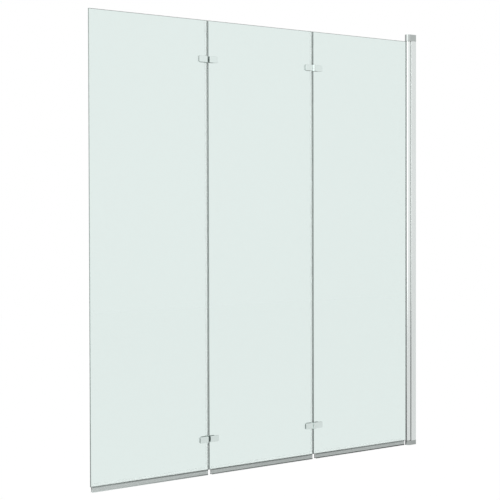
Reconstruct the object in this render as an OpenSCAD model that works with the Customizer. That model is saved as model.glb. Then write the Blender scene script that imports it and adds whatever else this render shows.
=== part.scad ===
// Folding bath screen: three frameless glass panels that fold flat like a zigzag
// and swing on a pivot post beside the wall. Millimetres, Z up.
// The wall face is the plane x = 0 and the screen runs from it towards -X.
// y = 0 is the middle of the glass, -Y is the front, and z = 0 is the rim of the bath.

/* [Glass] */
// Thickness of the toughened glass
glass_t = 5; // [4:0.5:6]
// Width of the outer panel, the one with the free edge
panel_1_w = 416.6; // [300:0.1:500]
// Width of the middle panel
panel_2_w = 415.6; // [300:0.1:500]
// Width of the inner panel, up to its edge inside the pivot post
panel_3_w = 426.7; // [300:0.1:520]
// Gap between the edges of two neighbouring panels
joint_gap = 4.5; // [4:0.1:6]
// Chamfer ground on every edge of the glass
glass_arris = 0.8; // [0.2:0.1:1]

/* [Wall unit] */
// Height of the wall unit from the bath rim to the top of its upper block
unit_h = 1400; // [1300:10:1600]
// Depth of the wall channel out from the wall
channel_d = 21.4; // [21:0.1:22]
// Overall width of the wall channel and of both end blocks
channel_w = 21; // [20:0.5:21]
// Wall thickness of the extruded wall channel
channel_t = 1.6; // [1.2:0.1:2]
// Height of the upper end block
top_block_h = 22.5; // [18:0.5:40]
// Height of the lower end block
bottom_block_h = 15; // [14:0.5:30]
// Chamfer round the outer end of each end block
block_chamfer = 0.8; // [0.3:0.1:1.5]
// Radius of the four holes for wall screws in the back of the channel
wall_hole_r = 2.6; // [2:0.1:3.5]
// Distance from one wall screw hole to the next
wall_hole_pitch = 400; // [150:5:400]
// Clear depth behind the inner profile for the heads of the wall screws
screw_head_room = 3.4; // [2.5:0.1:4]
// Sliding clearance between the inner profile and the channel
slide_gap = 0.25; // [0.1:0.05:0.4]
// Wall thickness of the inner profile
carrier_t = 1.6; // [1.2:0.1:2]
// Running clearance between the turning post and its concave seat
seat_gap = 0.7; // [0.4:0.1:1]

/* [Pivot post] */
// Distance of the pivot axis from the wall
pivot_x = 27.9; // [27.2:0.1:29]
// Diameter of the turning post
post_d = 18.6; // [18.4:0.2:20]
// Wall thickness of the extruded post
post_t = 1.5; // [1.2:0.1:1.8]
// Diameter of the two pivot pins
pivot_pin_d = 5; // [4:0.5:5]
// Length of each pivot pin pressed into the post
pin_in_post = 28; // [15:1:60]
// Length of each pivot pin that turns in its bush
pin_in_bush = 10; // [6:0.5:11]
// Wall thickness of the plastic bushes
bush_t = 2; // [1:0.25:2.5]
// Thickness of the flange on each bush
bush_flange_t = 1; // [0.8:0.1:1.5]
// Thickness of the gasket on each side of the glass in the post
gasket_t = 1; // [0.6:0.1:1.3]
// How far the lips of the gasket stand out of the slot, along the glass
gasket_lip = 2.6; // [0.5:0.1:3]

/* [Hinges] */
// Height of the leaves and clamp plates
hinge_h = 19; // [16:0.5:30]
// Distance from the top edge of the glass to the middle of the upper hinges
hinge_top_drop = 117; // [60:1:300]
// Distance from the bottom edge of the glass to the middle of the lower hinges
hinge_bottom_rise = 93; // [60:1:300]
// Reach of the front plates from the middle of the joint
front_reach = 35; // [28:0.5:50]
// Reach of the rear plates from the middle of the joint
rear_reach = 25; // [24:0.5:50]
// Thickness of the leaf plates that carry the knuckles
leaf_t = 5.5; // [5.2:0.1:7]
// Thickness of the clamp plates
clamp_t = 4; // [3.5:0.1:4.2]
// Thickness of the soft pads between metal and glass
pad_t = 1; // [0.6:0.1:1.2]
// Corner radius of the plates
plate_r = 2.5; // [1.5:0.1:4]
// Chamfer along the outer edges of the plates
plate_chamfer = 0.6; // [0.3:0.1:1]
// Diameter of the hinge knuckles
knuckle_d = 8.4; // [8:0.1:8.8]
// Diameter of the hinge pins
hinge_pin_d = 4; // [3:0.1:4.4]
// Length of the middle knuckle
mid_knuckle_l = 6; // [4:0.5:8]
// Thickness of the washers between the knuckles
washer_t = 0.5; // [0.3:0.1:0.8]
// Distance of each clamping screw from the middle of the joint
screw_reach = 15; // [13:0.5:17]
// Radius of the clamping screws
screw_r = 2.5; // [2:0.1:3]
// Gap between the plates of a hinge when it is folded shut
folded_gap = 0.8; // [0.6:0.1:1.2]

/* [Seals] */
// Height of the bottom seals above the bath rim
seal_lift = 1; // [0.3:0.1:1.5]
// Wall thickness of the seal extrusions
seal_t = 1.1; // [0.8:0.05:1.2]
// Height of the seal legs that grip the glass
seal_leg = 9; // [6:0.5:14]
// Outward splay of the two wiper lips
lip_splay = 0.9; // [0.3:0.1:1.2]
// Distance that a bottom seal stops short of the free edge of the outer panel
seal_short_free = 4; // [1:0.5:10]
// Distance that a bottom seal stops short of the left edge of a panel at a joint
seal_short_left = 7; // [4:0.5:10]
// Distance that a bottom seal stops short of the right edge of a panel at a joint
seal_short_right = 2; // [1.5:0.5:8]
// Gap between the bottom seal of the inner panel and the nose of the lower end block
seal_block_gap = 11; // [1.5:0.5:15]
// Length of the legs of the upright joint seals
joint_leg = 8; // [5:0.5:12]

/* [Hidden] */
$fn = 48;
// The hinge pin's press, the running fit of a pin and the fit of a flat piece on its neighbour
press_gap = 0.02;
run_gap = 0.06;
thrust_gap = 0.1;
end_gap = 0.3;
bite = 1;

// Heights: the glass stands between the two end blocks and clears the flanges of the bushes
channel_bottom = bottom_block_h;
channel_top = unit_h - top_block_h;
post_bottom = channel_bottom + bush_flange_t + thrust_gap;
post_top = channel_top - bush_flange_t - end_gap;
glass_lift = 0.9;
glass_bottom = post_bottom + glass_lift;
glass_top = post_top;
upper_hinge_z = glass_top - hinge_top_drop;
lower_hinge_z = glass_bottom + hinge_bottom_rise;
hinge_heights = [lower_hinge_z, upper_hinge_z];

// Plan: the pivot axis, then the glass edges and the joints from the wall outwards
axis_x = -pivot_x;
post_r = post_d / 2;
channel_half = channel_w / 2;
bore_wall = 1.1;
pivot_pin_r = pivot_pin_d / 2;
slot_x = axis_x - pivot_pin_r - press_gap - bore_wall;
glass_3_right = slot_x - gasket_t * 0.6;
glass_3_left = glass_3_right - panel_3_w;
joint_2_x = glass_3_left - joint_gap / 2;
glass_2_right = joint_2_x - joint_gap / 2;
glass_2_left = glass_2_right - panel_2_w;
joint_1_x = glass_2_left - joint_gap / 2;
glass_1_right = joint_1_x - joint_gap / 2;
glass_1_left = glass_1_right - panel_1_w;

// Post and its bearings
slot_w = glass_t + 2 * gasket_t;
bush_r = pivot_pin_r + run_gap + bush_t;
bush_flange_r = bush_r + 2.5;
bush_l = pin_in_bush + 0.5;
block_bore_l = bush_l + end_gap;
carrier_half = channel_half - channel_t - slide_gap;
carrier_back = -channel_t - screw_head_room;
seat_r = post_r + seat_gap;
seat_web = 2;
cavity_front = axis_x + seat_r + seat_web;
cavity_back = carrier_back - carrier_t;
cavity_half = carrier_half - carrier_t;
port_x = (cavity_front + cavity_back) / 2;
port_hole_r = 1.8;
port_r = port_hole_r + 1.2;
port_web = 1.2;
port_screw_r = 1.75;
port_screw_l = 15;
port_head_r = 3.3;
port_head_h = 2.4;
block_screw_floor = 5;
peg_gap = 0.3;
peg_w = 2.2;
peg_l = 6;
side_screw_r = 1.7;
side_head_r = 3;
side_screw_l = 6;
side_screw_z = 60;
side_screw_count = 4;
side_screw_pitch = (channel_top - channel_bottom - 2 * side_screw_z) / (side_screw_count - 1);
side_screw_x = (cavity_front + cavity_back) / 2;

// Hinge geometry, in the hinge's own frame: the joint's middle is x = 0 and the knuckles are at -Y
pad_face = glass_t / 2 + pad_t;
leaf_face = pad_face + leaf_t;
clamp_face = pad_face + clamp_t;
hinge_axis_y = leaf_face + folded_gap / 2;
knuckle_r = knuckle_d / 2;
hinge_pin_r = hinge_pin_d / 2;
knuckle_air = 0.5;
leaf_root = knuckle_r + knuckle_air;
clamp_root = 3.7;
neck_top = knuckle_r - 0.3;
washer_play = 0.05;
outer_knuckle_z = mid_knuckle_l / 2 + washer_t + 2 * washer_play;
pin_head_r = hinge_pin_r + 1.1;
pin_head_h = 0.8;
screw_head_r = screw_r + 2.2;
screw_sink = 0.1;
thread_floor = 0.8;
socket_r = 1.6;
socket_l = 2;
sleeve_gap = 0.2;
sleeve_t = 2.3;
glass_hole_r = screw_r + 2 * sleeve_gap + sleeve_t;

// Seals
seal_half = glass_t / 2 + seal_t;
chamber_top = glass_bottom - seal_t;
chamber_bottom = glass_bottom - 9.5;
lip_root = chamber_bottom - seal_t;
lip_t = 0.7;
nose_r = channel_half;
seal_3_right = axis_x - nose_r - seal_block_gap;
joint_seal_t = 0.9;
bulb_r = (joint_gap - joint_seal_t - end_gap) / 2;
bulb_t = 0.5;
hinge_clear = 1.5;

GLASS = [0.80, 0.90, 0.88, 0.45];
CHROME = [0.82, 0.84, 0.84];
ALUMINIUM = [0.86, 0.87, 0.87];
ZINC = [0.68, 0.70, 0.69];
STEEL = [0.62, 0.64, 0.65];
PVC = [0.70, 0.75, 0.73];
NYLON = [0.90, 0.90, 0.88];
RUBBER = [0.35, 0.37, 0.37];

// ---- Shapes used by more than one piece ----

// Rectangle from one corner to the other
module rect(x0, x1, y0, y1) {
    translate([x0, y0]) square([x1 - x0, y1 - y0]);
}

// Rectangle with round corners, centred
module round_rect(w, h, r) {
    square([w - 2 * r, h], center = true);
    square([w, h - 2 * r], center = true);
    for (sx = [-1, 1], sy = [-1, 1])
        translate([sx * (w / 2 - r), sy * (h / 2 - r)]) circle(r = r);
}

// Rectangle with every corner cut off at 45 degrees
module chamfer_rect(x0, x1, y0, y1, c) {
    polygon([
        [x0 + c, y0], [x1 - c, y0], [x1, y0 + c], [x1, y1 - c],
        [x1 - c, y1], [x0 + c, y1], [x0, y1 - c], [x0, y0 + c]
    ]);
}

// A profile drawn in the (x, z) plane, extruded from y0 to y1
module extrude_y(y0, y1) {
    translate([0, y1, 0]) rotate([90, 0, 0]) linear_extrude(y1 - y0) children();
}

// A profile drawn in the (y, z) plane, extruded from x0 to x1
module extrude_x(x0, x1) {
    translate([x0, 0, 0]) rotate([90, 0, 90]) linear_extrude(x1 - x0) children();
}

// A cylinder along Y from y0 to y1
module rod_y(r, y0, y1) {
    translate([0, y0, 0]) rotate([-90, 0, 0]) cylinder(r = r, h = y1 - y0);
}

// Puts a hinge piece at both hinges of a joint
module at_both_hinges(x) {
    for (z = hinge_heights)
        translate([x, 0, z]) children();
}

// ---- Wall unit ----

// Extruded channel that is screwed to the wall; its mouth holds the inner profile
module wall_channel() {
    middle = (channel_bottom + channel_top) / 2;
    screw_holes = [for (step = [-1.5, -0.5, 0.5, 1.5]) middle + step * wall_hole_pitch];
    color(ALUMINIUM) difference() {
        translate([0, 0, channel_bottom]) linear_extrude(channel_top - channel_bottom) channel_profile();
        for (z = screw_holes)
            translate([-channel_t - bite, 0, z]) rotate([0, 90, 0])
                cylinder(r = wall_hole_r, h = channel_t + 2 * bite);
        at_side_screws() side_screw(side_screw_r + sleeve_gap, side_head_r + sleeve_gap, bite);
    }
}

module channel_profile() {
    inner = channel_half - channel_t;
    mouth_r = channel_t * 0.9;
    mouth = -channel_d + mouth_r;
    rim = channel_half - mouth_r;
    difference() {
        union() {
            rect(mouth, 0, -channel_half, channel_half);
            rect(-channel_d, mouth, -rim, rim);
            for (side = [-1, 1])
                translate([mouth, side * rim]) circle(r = mouth_r);
        }
        rect(-channel_d - bite, -channel_t, -inner, inner);
    }
}

// Inner profile: slides in the channel, carries both end blocks and cups the round post
module inner_profile() {
    color(ALUMINIUM) difference() {
        translate([0, 0, channel_bottom]) linear_extrude(channel_top - channel_bottom)
            inner_profile_section();
        at_side_screws() side_screw(side_screw_r + press_gap, side_screw_r + press_gap, 0);
    }
}

module inner_profile_section() {
    horn_x = -channel_d + channel_t * 1.25;
    difference() {
        rect(horn_x, carrier_back, -carrier_half, carrier_half);
        translate([axis_x, 0]) circle(r = seat_r);
        rect(cavity_front, cavity_back, -cavity_half, cavity_half);
    }
    difference() {
        union() {
            translate([port_x, 0]) circle(r = port_r);
            rect(cavity_front - 0.2, cavity_back + 0.2, -port_web / 2, port_web / 2);
        }
        translate([port_x, 0]) circle(r = port_hole_r);
    }
}

// Countersunk screws through the rear flank of the channel, which hold the inner profile
module inner_profile_screws() {
    color(STEEL) at_side_screws() difference() {
        side_screw(side_screw_r, side_head_r, 0);
        rod_y(side_screw_r * 0.55, -1, bite, $fn = 6);
    }
}

module at_side_screws() {
    for (i = [0:side_screw_count - 1])
        translate([side_screw_x, channel_half, channel_bottom + side_screw_z + i * side_screw_pitch])
            children();
}

// A side screw with its head flush in the flank; over makes the cutter stand out of the flank
module side_screw(r, head_r, over) {
    head_h = channel_t - 0.2;
    rod_y(r, -side_screw_l, over);
    rotate([90, 0, 0]) cylinder(r1 = head_r, r2 = r, h = head_h);
    if (over > 0) rod_y(head_r, -0.01, over);
}

// Outline shared by both end blocks: a round nose over the post and a square back on the wall
module end_block_body(h, chamfer_up) {
    low = chamfer_up ? 0 : block_chamfer;
    high = chamfer_up ? block_chamfer : 0;
    nose = [
        [0, 0], [nose_r - low, 0], [nose_r, low], [nose_r, h - high], [nose_r - high, h], [0, h]
    ];
    translate([axis_x, 0, 0]) rotate_extrude() polygon(nose);
    extrude_x(axis_x, 0) polygon([
        [-channel_half + low, 0], [channel_half - low, 0], [channel_half, low], [channel_half, h - high],
        [channel_half - high, h], [-channel_half + high, h], [-channel_half, h - high], [-channel_half, low]
    ]);
}

// Two pegs that locate an end block in the hollow of the inner profile
module block_pegs(z0, z1) {
    outer = cavity_half - peg_gap;
    for (side = [-1, 1])
        translate([0, side * (outer - peg_w / 2), z0])
            linear_extrude(z1 - z0) rect(
                cavity_front + peg_gap, cavity_back - peg_gap, -peg_w / 2, peg_w / 2
            );
}

module top_block() {
    color(ZINC) difference() {
        union() {
            translate([0, 0, channel_top]) end_block_body(top_block_h, true);
            block_pegs(channel_top - peg_l, channel_top + 0.2);
        }
        translate([axis_x, 0, channel_top - bite]) cylinder(r = bush_r + press_gap, h = block_bore_l + bite);
        translate([port_x, 0, channel_top - bite]) cylinder(r = port_screw_r + sleeve_gap, h = top_block_h + 2);
        translate([port_x, 0, channel_top + block_screw_floor])
            cylinder(r = port_head_r + sleeve_gap, h = top_block_h);
    }
}

module bottom_block() {
    color(ZINC) difference() {
        union() {
            end_block_body(bottom_block_h, false);
            block_pegs(channel_bottom - 0.2, channel_bottom + peg_l);
        }
        translate([axis_x, 0, channel_bottom - block_bore_l])
            cylinder(r = bush_r + press_gap, h = block_bore_l + bite);
        translate([port_x, 0, -bite]) cylinder(r = port_screw_r + sleeve_gap, h = bottom_block_h + 2);
        translate([port_x, 0, -bite])
            cylinder(r = port_head_r + sleeve_gap, h = bottom_block_h - block_screw_floor + bite);
    }
}

// One screw up through the lower block and one down through the upper block
module block_screws() {
    color(STEEL) {
        translate([port_x, 0, channel_top + block_screw_floor]) mirror([0, 0, 1]) block_screw();
        translate([port_x, 0, channel_bottom - block_screw_floor]) block_screw();
    }
}

module block_screw() {
    difference() {
        union() {
            cylinder(r = port_screw_r, h = block_screw_floor + port_screw_l);
            translate([0, 0, -port_head_h]) cylinder(r = port_head_r, h = port_head_h);
        }
        translate([0, 0, -port_head_h - bite]) cylinder(r = socket_r, h = socket_l / 2 + bite, $fn = 6);
    }
}

// Flanged plastic bush, drawn with its flange on the plane z = 0 and its sleeve downwards
module bush() {
    difference() {
        union() {
            cylinder(r = bush_flange_r, h = bush_flange_t);
            translate([0, 0, -bush_l]) cylinder(r = bush_r, h = bush_l + 0.1);
        }
        translate([0, 0, -bush_l - bite]) cylinder(r = pivot_pin_r + run_gap, h = bush_l + bush_flange_t + 2);
    }
}

module top_bush() {
    color(NYLON) translate([axis_x, 0, channel_top]) mirror([0, 0, 1]) bush();
}

module bottom_bush() {
    color(NYLON) translate([axis_x, 0, channel_bottom]) bush();
}

// ---- Inner panel with the pivot post ----

// Round extrusion: an outer ring, a slot for the glass and a central bore for the pins
module pivot_post() {
    color(ALUMINIUM) translate([0, 0, post_bottom]) linear_extrude(post_top - post_bottom)
        post_section();
}

module post_section() {
    bore_r = pivot_pin_r + press_gap;
    boss_r = bore_r + bore_wall;
    slot_half = slot_w / 2;
    difference() {
        union() {
            difference() {
                translate([axis_x, 0]) circle(r = post_r);
                translate([axis_x, 0]) circle(r = post_r - post_t);
            }
            translate([axis_x, 0]) circle(r = boss_r);
            intersection() {
                translate([axis_x, 0]) circle(r = post_r - 0.1);
                union() {
                    rect(axis_x - post_r, axis_x - 0.4, -slot_half - post_t, slot_half + post_t);
                    rect(axis_x, axis_x + post_r, -post_t / 2, post_t / 2);
                }
            }
        }
        translate([axis_x, 0]) circle(r = bore_r);
        rect(axis_x - post_r - bite, slot_x, -slot_half, slot_half);
    }
}

module pivot_pin(length) {
    chamfer = 0.5;
    rotate_extrude() polygon([
        [0, 0], [pivot_pin_r - chamfer, 0], [pivot_pin_r, chamfer], [pivot_pin_r, length - chamfer],
        [pivot_pin_r - chamfer, length], [0, length]
    ]);
}

module top_pivot_pin() {
    low = post_top - pin_in_post;
    color(STEEL) translate([axis_x, 0, low]) pivot_pin(channel_top + pin_in_bush - low);
}

module bottom_pivot_pin() {
    low = channel_bottom - pin_in_bush;
    color(STEEL) translate([axis_x, 0, low]) pivot_pin(post_bottom + pin_in_post - low);
}

// Soft U-shaped gasket that grips the glass in the slot of the post
module post_gasket() {
    half = slot_w / 2;
    mouth_x = axis_x - post_r + 0.35;
    lip_x = mouth_x - gasket_lip;
    lip_y = glass_t / 2 + gasket_t * 0.4;
    color(RUBBER) translate([0, 0, glass_bottom]) linear_extrude(glass_top - glass_bottom) difference() {
        polygon([[slot_x, -half], [slot_x, half], [mouth_x, half], [lip_x, lip_y], [lip_x, -lip_y], [mouth_x, -half]]);
        rect(lip_x - bite, glass_3_right, -glass_t / 2, glass_t / 2);
    }
}

// ---- Glass ----

// Toughened pane with ground edges, from x0 to x1, drilled for the screws of its hinges
module glass_pane(x0, x1, holes) {
    half = glass_t / 2;
    low = glass_bottom;
    high = glass_top;
    difference() {
        intersection() {
            translate([0, 0, low]) linear_extrude(high - low) chamfer_rect(x0, x1, -half, half, glass_arris);
            extrude_x(x0, x1) chamfer_rect(-half, half, low, high, glass_arris);
        }
        for (x = holes)
            at_both_hinges(x) rod_y(glass_hole_r, -half - bite, half + bite);
    }
}

module glass_panel_1() {
    color(GLASS) glass_pane(glass_1_left, glass_1_right, [joint_1_x - screw_reach]);
}

module glass_panel_2() {
    color(GLASS) glass_pane(glass_2_left, glass_2_right, [joint_1_x + screw_reach, joint_2_x - screw_reach]);
}

module glass_panel_3() {
    color(GLASS) glass_pane(glass_3_left, glass_3_right, [joint_2_x + screw_reach]);
}

// ---- Seals ----

// Bottom seal: two legs on the glass, a hollow chamber under it and two splayed wiper lips
module bottom_seal(x0, x1) {
    half = glass_t / 2;
    foot = seal_half + lip_splay;
    leg_top = glass_bottom + seal_leg;
    color(PVC) extrude_x(x0, x1) difference() {
        polygon([
            [-half, leg_top], [-seal_half, leg_top], [-seal_half, lip_root], [-foot, seal_lift],
            [-foot + lip_t, seal_lift], [-seal_half + seal_t, lip_root], [seal_half - seal_t, lip_root],
            [foot - lip_t, seal_lift], [foot, seal_lift], [seal_half, lip_root], [seal_half, leg_top],
            [half, leg_top], [half, glass_bottom], [-half, glass_bottom]
        ]);
        rect(-seal_half + seal_t, seal_half - seal_t, chamber_bottom, chamber_top);
    }
}

module bottom_seal_1() {
    bottom_seal(glass_1_left + seal_short_free, glass_1_right - seal_short_right);
}

module bottom_seal_2() {
    bottom_seal(glass_2_left + seal_short_left, glass_2_right - seal_short_right);
}

module bottom_seal_3() {
    bottom_seal(glass_3_left + seal_short_left, seal_3_right);
}

// Upright seal clipped on the right edge of a panel, in three lengths that leave room for the hinges.
// Its legs are cut off at the foot, where the bottom seal grips the same glass.
module joint_seal(edge_x) {
    hinge_half = hinge_h / 2 + hinge_clear;
    legs_from = glass_bottom + seal_leg + end_gap;
    color(PVC) translate([edge_x, 0, 0]) difference() {
        for (s = [
            [glass_bottom, lower_hinge_z - hinge_half],
            [lower_hinge_z + hinge_half, upper_hinge_z - hinge_half],
            [upper_hinge_z + hinge_half, glass_top]
        ])
            translate([0, 0, s[0]]) linear_extrude(s[1] - s[0]) joint_seal_section();
        translate([-joint_leg - bite, -channel_half, glass_bottom - bite])
            cube([joint_leg + bite, channel_w, legs_from - glass_bottom + bite]);
    }
}

module joint_seal_section() {
    half = glass_t / 2 + joint_seal_t;
    bulb_x = joint_seal_t + bulb_r - 0.1;
    difference() {
        rect(-joint_leg, joint_seal_t, -half, half);
        rect(-joint_leg - bite, 0, -glass_t / 2, glass_t / 2);
    }
    difference() {
        translate([bulb_x, 0]) circle(r = bulb_r);
        translate([bulb_x, 0]) circle(r = bulb_r - bulb_t);
    }
}

module joint_seal_1() {
    joint_seal(glass_1_right);
}

module joint_seal_2() {
    joint_seal(glass_2_right);
}

// ---- Hinges ----
// Every hinge piece is drawn for the left leaf of a hinge whose knuckles are at -Y, and is then
// mirrored: left to right for the other panel, and front to back for the joint that folds backwards.

module place_hinge(x, z, right, knuckles_back) {
    translate([x, 0, z])
        mirror([right ? 1 : 0, 0, 0])
            mirror([0, knuckles_back ? 1 : 0, 0]) children();
}

// Plate from the root to its reach, lying between two distances in front of the glass
module hinge_plate(root, reach, inner, outer) {
    w = reach - root;
    h = hinge_h;
    c = plate_chamfer;
    intersection() {
        translate([-root - w / 2, 0, 0]) extrude_y(-outer, -inner) round_rect(w, h, plate_r);
        translate([0, 0, -h / 2]) linear_extrude(h) polygon([
            [-reach, -inner], [-reach, -outer + c], [-reach + c, -outer],
            [-root - c, -outer], [-root, -outer + c], [-root, -inner]
        ]);
        extrude_x(-reach, -root) polygon([
            [-inner, -h / 2], [-inner, h / 2], [-outer + c, h / 2], [-outer, h / 2 - c],
            [-outer, -h / 2 + c], [-outer + c, -h / 2]
        ]);
    }
}

// Countersunk hole or screw along Y whose head is flush at y_head, pointing to y_tip
module countersunk(r, head_r, y_head, y_tip) {
    dir = y_tip > y_head ? 1 : -1;
    translate([0, y_head, 0]) rotate([-90 * dir, 0, 0]) {
        cylinder(r = r, h = abs(y_tip - y_head));
        cylinder(r1 = head_r, r2 = r, h = head_r - r);
    }
}

// The clamping screw comes from the back of the screen, so it is cut from the leaf or the clamp there
module screw_cut(knuckles_back) {
    head_y = knuckles_back ? -leaf_face : clamp_face;
    tip_y = knuckles_back ? clamp_face - thread_floor : -leaf_face + thread_floor;
    out = knuckles_back ? -0.01 : 0.01;
    translate([-screw_reach, 0, 0]) {
        countersunk(screw_r + press_gap, screw_head_r + sleeve_gap, head_y, tip_y);
        translate([0, head_y + out, 0]) rotate([knuckles_back ? 90 : -90, 0, 0])
            cylinder(r = screw_head_r + sleeve_gap, h = bite);
    }
}

module clamping_screw(knuckles_back) {
    head_y = knuckles_back ? -leaf_face + screw_sink : clamp_face - screw_sink;
    tip_y = knuckles_back ? clamp_face - thread_floor - 0.2 : -leaf_face + thread_floor + 0.2;
    translate([-screw_reach, 0, 0]) difference() {
        countersunk(screw_r, screw_head_r, head_y, tip_y);
        translate([0, head_y, 0]) rotate([-90, 0, 0])
            cylinder(r = socket_r, h = 2 * socket_l, center = true, $fn = 6);
    }
}

// Height spans of the knuckles: two outer ones on the outer leaf, one between them on the inner leaf
function knuckle_spans(outer_leaf) = outer_leaf
    ? [[outer_knuckle_z, hinge_h / 2], [-hinge_h / 2, -outer_knuckle_z]]
    : [[-mid_knuckle_l / 2, mid_knuckle_l / 2]];

module hinge_leaf(outer_leaf, reach, knuckles_back) {
    bore_r = hinge_pin_r + (outer_leaf ? press_gap : run_gap);
    color(CHROME) difference() {
        union() {
            hinge_plate(leaf_root, reach, pad_face, leaf_face);
            for (s = knuckle_spans(outer_leaf)) {
                translate([0, -hinge_axis_y, s[0]]) cylinder(r = knuckle_r, h = s[1] - s[0]);
                translate([0, 0, s[0]]) linear_extrude(s[1] - s[0])
                    rect(-leaf_root - 2, 0, -leaf_face, -hinge_axis_y + neck_top);
            }
        }
        translate([0, -hinge_axis_y, -hinge_h]) cylinder(r = bore_r, h = 2 * hinge_h);
        screw_cut(knuckles_back);
    }
}

module hinge_clamp(reach, knuckles_back) {
    color(CHROME) difference() {
        mirror([0, 1, 0]) hinge_plate(clamp_root, reach, pad_face, clamp_face);
        screw_cut(knuckles_back);
    }
}

// Pin through the knuckles with a low head at each end
module hinge_pin(z) {
    half = hinge_h / 2;
    edge = 0.3;
    half_section = [
        [0, 0], [hinge_pin_r, 0], [hinge_pin_r, half + 0.02], [pin_head_r, half + 0.02],
        [pin_head_r, half + pin_head_h - edge], [pin_head_r - edge, half + pin_head_h], [0, half + pin_head_h]
    ];
    color(CHROME) translate([0, 0, z]) {
        rotate_extrude() polygon(half_section);
        mirror([0, 0, 1]) rotate_extrude() polygon(half_section);
    }
}

module hinge_washers(x, axis_y) {
    low = mid_knuckle_l / 2 + washer_play;
    color(NYLON) for (z = hinge_heights, lift = [low, -low - washer_t])
        translate([x, axis_y, z + lift]) difference() {
            cylinder(r = knuckle_r - 0.2, h = washer_t);
            translate([0, 0, -bite]) cylinder(r = hinge_pin_r + run_gap, h = washer_t + 2 * bite);
        }
}

// Soft pads of one leaf: one under the leaf and one under the clamp plate
module hinge_pads(leaf_reach, clamp_reach) {
    edge = 0.4;
    difference() {
        union() {
            pad(leaf_root + edge, leaf_reach - edge, -1);
            pad(clamp_root + edge, clamp_reach - edge, 1);
        }
        translate([-screw_reach, 0, 0]) rod_y(screw_r + sleeve_gap, -leaf_face, leaf_face);
    }
}

module pad(x0, x1, side) {
    y0 = side > 0 ? glass_t / 2 : -pad_face;
    translate([-(x0 + x1) / 2, 0, 0]) extrude_y(y0, y0 + pad_t)
        round_rect(x1 - x0, hinge_h - 0.8, plate_r - 0.4);
}

// Nylon sleeve that centres the clamping screw in the hole of the glass
module glass_sleeve() {
    half = glass_t / 2;
    translate([-screw_reach, 0, 0]) difference() {
        rod_y(glass_hole_r - sleeve_gap, -half, half);
        rod_y(screw_r + sleeve_gap, -half - bite, half + bite);
    }
}

// Joint 2 has its knuckles at the front, between the inner and the middle panel
module joint_2_piece(z, right) {
    place_hinge(joint_2_x, z, right, false) children();
}

// Joint 1 has its knuckles at the back, between the middle and the outer panel
module joint_1_piece(z, right) {
    place_hinge(joint_1_x, z, right, true) children();
}

module joint_2_upper_inner_leaf() {
    joint_2_piece(upper_hinge_z, true) hinge_leaf(false, front_reach, false);
}

module joint_2_lower_inner_leaf() {
    joint_2_piece(lower_hinge_z, true) hinge_leaf(false, front_reach, false);
}

module joint_2_upper_inner_clamp() {
    joint_2_piece(upper_hinge_z, true) hinge_clamp(rear_reach, false);
}

module joint_2_lower_inner_clamp() {
    joint_2_piece(lower_hinge_z, true) hinge_clamp(rear_reach, false);
}

module joint_2_upper_outer_leaf() {
    joint_2_piece(upper_hinge_z, false) hinge_leaf(true, front_reach, false);
}

module joint_2_lower_outer_leaf() {
    joint_2_piece(lower_hinge_z, false) hinge_leaf(true, front_reach, false);
}

module joint_2_upper_outer_clamp() {
    joint_2_piece(upper_hinge_z, false) hinge_clamp(rear_reach, false);
}

module joint_2_lower_outer_clamp() {
    joint_2_piece(lower_hinge_z, false) hinge_clamp(rear_reach, false);
}

module joint_2_upper_pin() {
    translate([joint_2_x, -hinge_axis_y, 0]) hinge_pin(upper_hinge_z);
}

module joint_2_lower_pin() {
    translate([joint_2_x, -hinge_axis_y, 0]) hinge_pin(lower_hinge_z);
}

module joint_2_washers() {
    hinge_washers(joint_2_x, -hinge_axis_y);
}

module joint_1_upper_inner_leaf() {
    joint_1_piece(upper_hinge_z, true) hinge_leaf(false, rear_reach, true);
}

module joint_1_lower_inner_leaf() {
    joint_1_piece(lower_hinge_z, true) hinge_leaf(false, rear_reach, true);
}

module joint_1_upper_inner_clamp() {
    joint_1_piece(upper_hinge_z, true) hinge_clamp(front_reach, true);
}

module joint_1_lower_inner_clamp() {
    joint_1_piece(lower_hinge_z, true) hinge_clamp(front_reach, true);
}

module joint_1_upper_outer_leaf() {
    joint_1_piece(upper_hinge_z, false) hinge_leaf(true, rear_reach, true);
}

module joint_1_lower_outer_leaf() {
    joint_1_piece(lower_hinge_z, false) hinge_leaf(true, rear_reach, true);
}

module joint_1_upper_outer_clamp() {
    joint_1_piece(upper_hinge_z, false) hinge_clamp(front_reach, true);
}

module joint_1_lower_outer_clamp() {
    joint_1_piece(lower_hinge_z, false) hinge_clamp(front_reach, true);
}

module joint_1_upper_pin() {
    translate([joint_1_x, hinge_axis_y, 0]) hinge_pin(upper_hinge_z);
}

module joint_1_lower_pin() {
    translate([joint_1_x, hinge_axis_y, 0]) hinge_pin(lower_hinge_z);
}

module joint_1_washers() {
    hinge_washers(joint_1_x, hinge_axis_y);
}

// Pads, sleeves and screws of each panel, at every hinge that the panel carries
module panel_3_pads() {
    color(RUBBER) for (z = hinge_heights) joint_2_piece(z, true) hinge_pads(front_reach, rear_reach);
}

module panel_3_sleeves() {
    color(NYLON) for (z = hinge_heights) joint_2_piece(z, true) glass_sleeve();
}

module panel_3_screws() {
    color(STEEL) for (z = hinge_heights) joint_2_piece(z, true) clamping_screw(false);
}

module panel_2_pads() {
    color(RUBBER) for (z = hinge_heights) {
        joint_2_piece(z, false) hinge_pads(front_reach, rear_reach);
        joint_1_piece(z, true) hinge_pads(rear_reach, front_reach);
    }
}

module panel_2_sleeves() {
    color(NYLON) for (z = hinge_heights) {
        joint_2_piece(z, false) glass_sleeve();
        joint_1_piece(z, true) glass_sleeve();
    }
}

module panel_2_screws() {
    color(STEEL) for (z = hinge_heights) {
        joint_2_piece(z, false) clamping_screw(false);
        joint_1_piece(z, true) clamping_screw(true);
    }
}

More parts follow.
